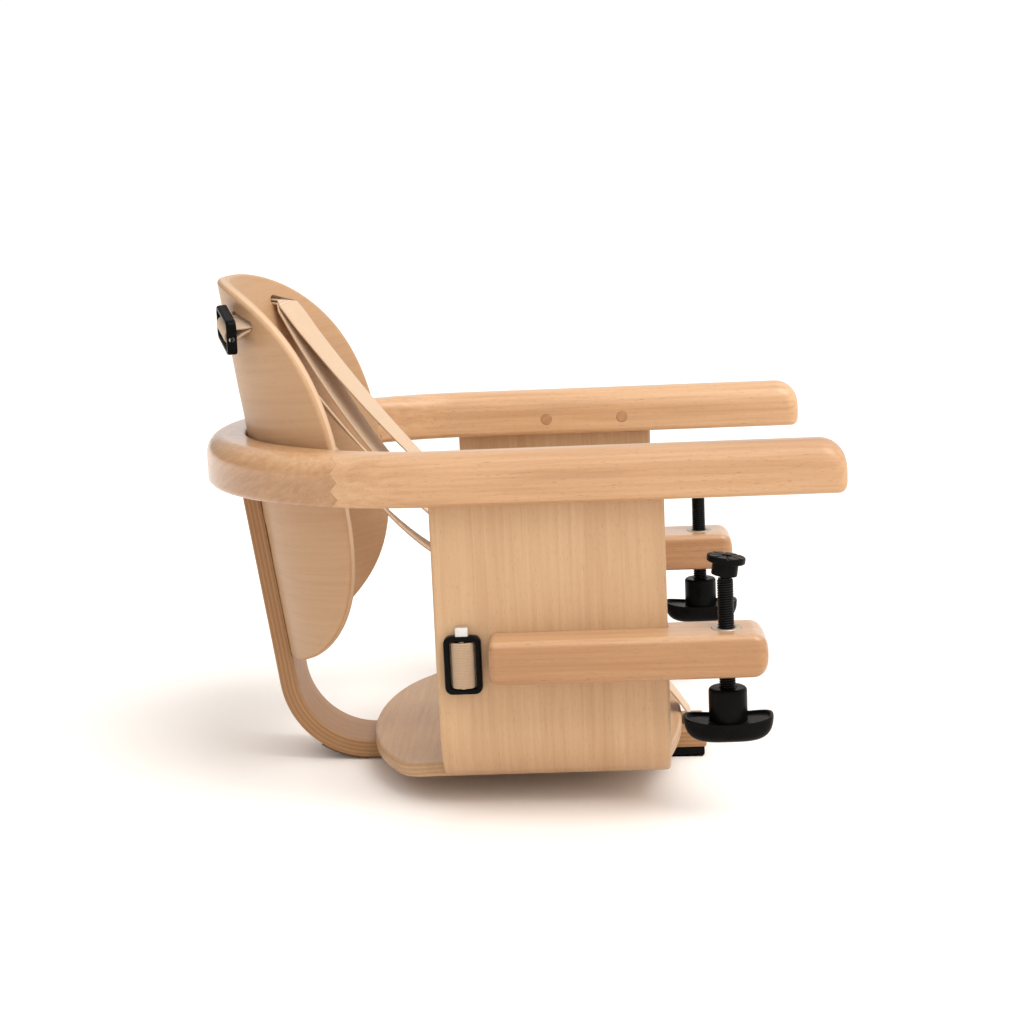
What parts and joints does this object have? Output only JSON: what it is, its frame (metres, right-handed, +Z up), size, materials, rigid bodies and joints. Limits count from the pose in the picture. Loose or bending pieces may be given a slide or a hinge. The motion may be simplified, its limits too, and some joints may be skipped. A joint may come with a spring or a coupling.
{
  "type": "hook on table chair",
  "caption": "Wooden clamp-on table seat: beech arms lie on a table top, a bent plywood seat hangs below, and screw clamps press up from under the table.",
  "frame": {"origin": "bottom centre of the bounding box: on the floor under the front foot's lower face, midway along the ring and midway between the arms", "axes": "+X forwards to the table along the arms, +Y to the child's left, +Z up"},
  "size_m": [0.4124, 0.3574, 0.3374],
  "materials": {
    "beech": "clear satin lacquer",
    "plywood": "clear satin lacquer",
    "webbing": "woven",
    "black_plastic": "satin",
    "black_steel": "black oxide",
    "zinc": "zinc plated",
    "rubber": "matt",
    "felt": "felt"
  },
  "bodies": {
    "frame": {"back_bow": "beech", "arm_left": "beech", "arm_right": "beech", "clamp_bar_left": "beech", "clamp_bar_right": "beech", "seat_shell": "plywood", "backrest": "plywood", "spine": "plywood", "arm_plug_left_1": "beech", "arm_screw_left_1": "zinc", "bar_screw_left_1": "black_steel", "arm_plug_left_2": "beech", "arm_screw_left_2": "zinc", "bar_screw_left_2": "black_steel", "spine_screw_left": "zinc", "threaded_insert_left": "zinc", "shoulder_slider_left": "black_plastic", "waist_slider_left": "black_plastic", "shoulder_pin_left": "zinc", "waist_pin_left": "zinc", "buckle_tongue_left": "black_plastic", "shoulder_strap_left": "webbing", "waist_strap_left": "webbing", "arm_plug_right_1": "beech", "arm_screw_right_1": "zinc", "bar_screw_right_1": "black_steel", "arm_plug_right_2": "beech", "arm_screw_right_2": "zinc", "bar_screw_right_2": "black_steel", "spine_screw_right": "zinc", "threaded_insert_right": "zinc", "shoulder_slider_right": "black_plastic", "waist_slider_right": "black_plastic", "shoulder_pin_right": "zinc", "waist_pin_right": "zinc", "buckle_tongue_right": "black_plastic", "shoulder_strap_right": "webbing", "waist_strap_right": "webbing", "back_screw_1": "zinc", "seat_screw_1": "zinc", "back_screw_2": "zinc", "seat_screw_2": "zinc", "front_foot": "rubber", "heel_pad": "felt", "crotch_strap": "webbing", "buckle_housing": "black_plastic"},
    "button": {"buckle_button": "black_plastic"},
    "clamp_head_left": {"swivel_cup_left": "black_plastic"},
    "clamp_screw_left": {"clamp_screw_left": "black_steel", "knob_left": "black_plastic"},
    "pressure_pad_left": {"pressure_pad_left": "black_plastic"},
    "clamp_head_right": {"swivel_cup_right": "black_plastic"},
    "clamp_screw_right": {"clamp_screw_right": "black_steel", "knob_right": "black_plastic"},
    "pressure_pad_right": {"pressure_pad_right": "black_plastic"}
  },
  "joints": [
    {"name": "clamp_lift_left", "type": "slide", "parent": "frame", "child": "clamp_head_left", "axis": [0, 0, 1], "range_m": [-0.0285, 0.0045]},
    {"name": "clamp_turn_left", "type": "hinge", "parent": "clamp_head_left", "child": "clamp_screw_left", "pos_m": [0.13145, 0.15625, 0.158], "axis": [0, 0, 1], "range_deg": [-6840, 1080]},
    {"name": "pad_tilt_left", "type": "hinge", "parent": "clamp_head_left", "child": "pressure_pad_left", "pos_m": [0.13145, 0.15625, 0.158], "axis": [0, 1, 0], "range_deg": [-20.5, 3.5]},
    {"name": "clamp_lift_right", "type": "slide", "parent": "frame", "child": "clamp_head_right", "axis": [0, 0, 1], "range_m": [-0.0285, 0.0045]},
    {"name": "clamp_turn_right", "type": "hinge", "parent": "clamp_head_right", "child": "clamp_screw_right", "pos_m": [0.13145, -0.15625, 0.158], "axis": [0, 0, 1], "range_deg": [-6840, 1080]},
    {"name": "pad_tilt_right", "type": "hinge", "parent": "clamp_head_right", "child": "pressure_pad_right", "pos_m": [0.13145, -0.15625, 0.158], "axis": [0, 1, 0], "range_deg": [-20.5, 3.5]},
    {"name": "button_press", "type": "slide", "parent": "frame", "child": "button", "axis": [-0.766, 0, -0.6428], "range_m": [0, 0.0015], "stiffness_N_per_m": 800}
  ],
  "couplings": [
    {"joint": "clamp_turn_left", "follows": "clamp_lift_left", "rad_per_m": 4188.8},
    {"joint": "clamp_turn_right", "follows": "clamp_lift_right", "rad_per_m": 4188.8}
  ]
}
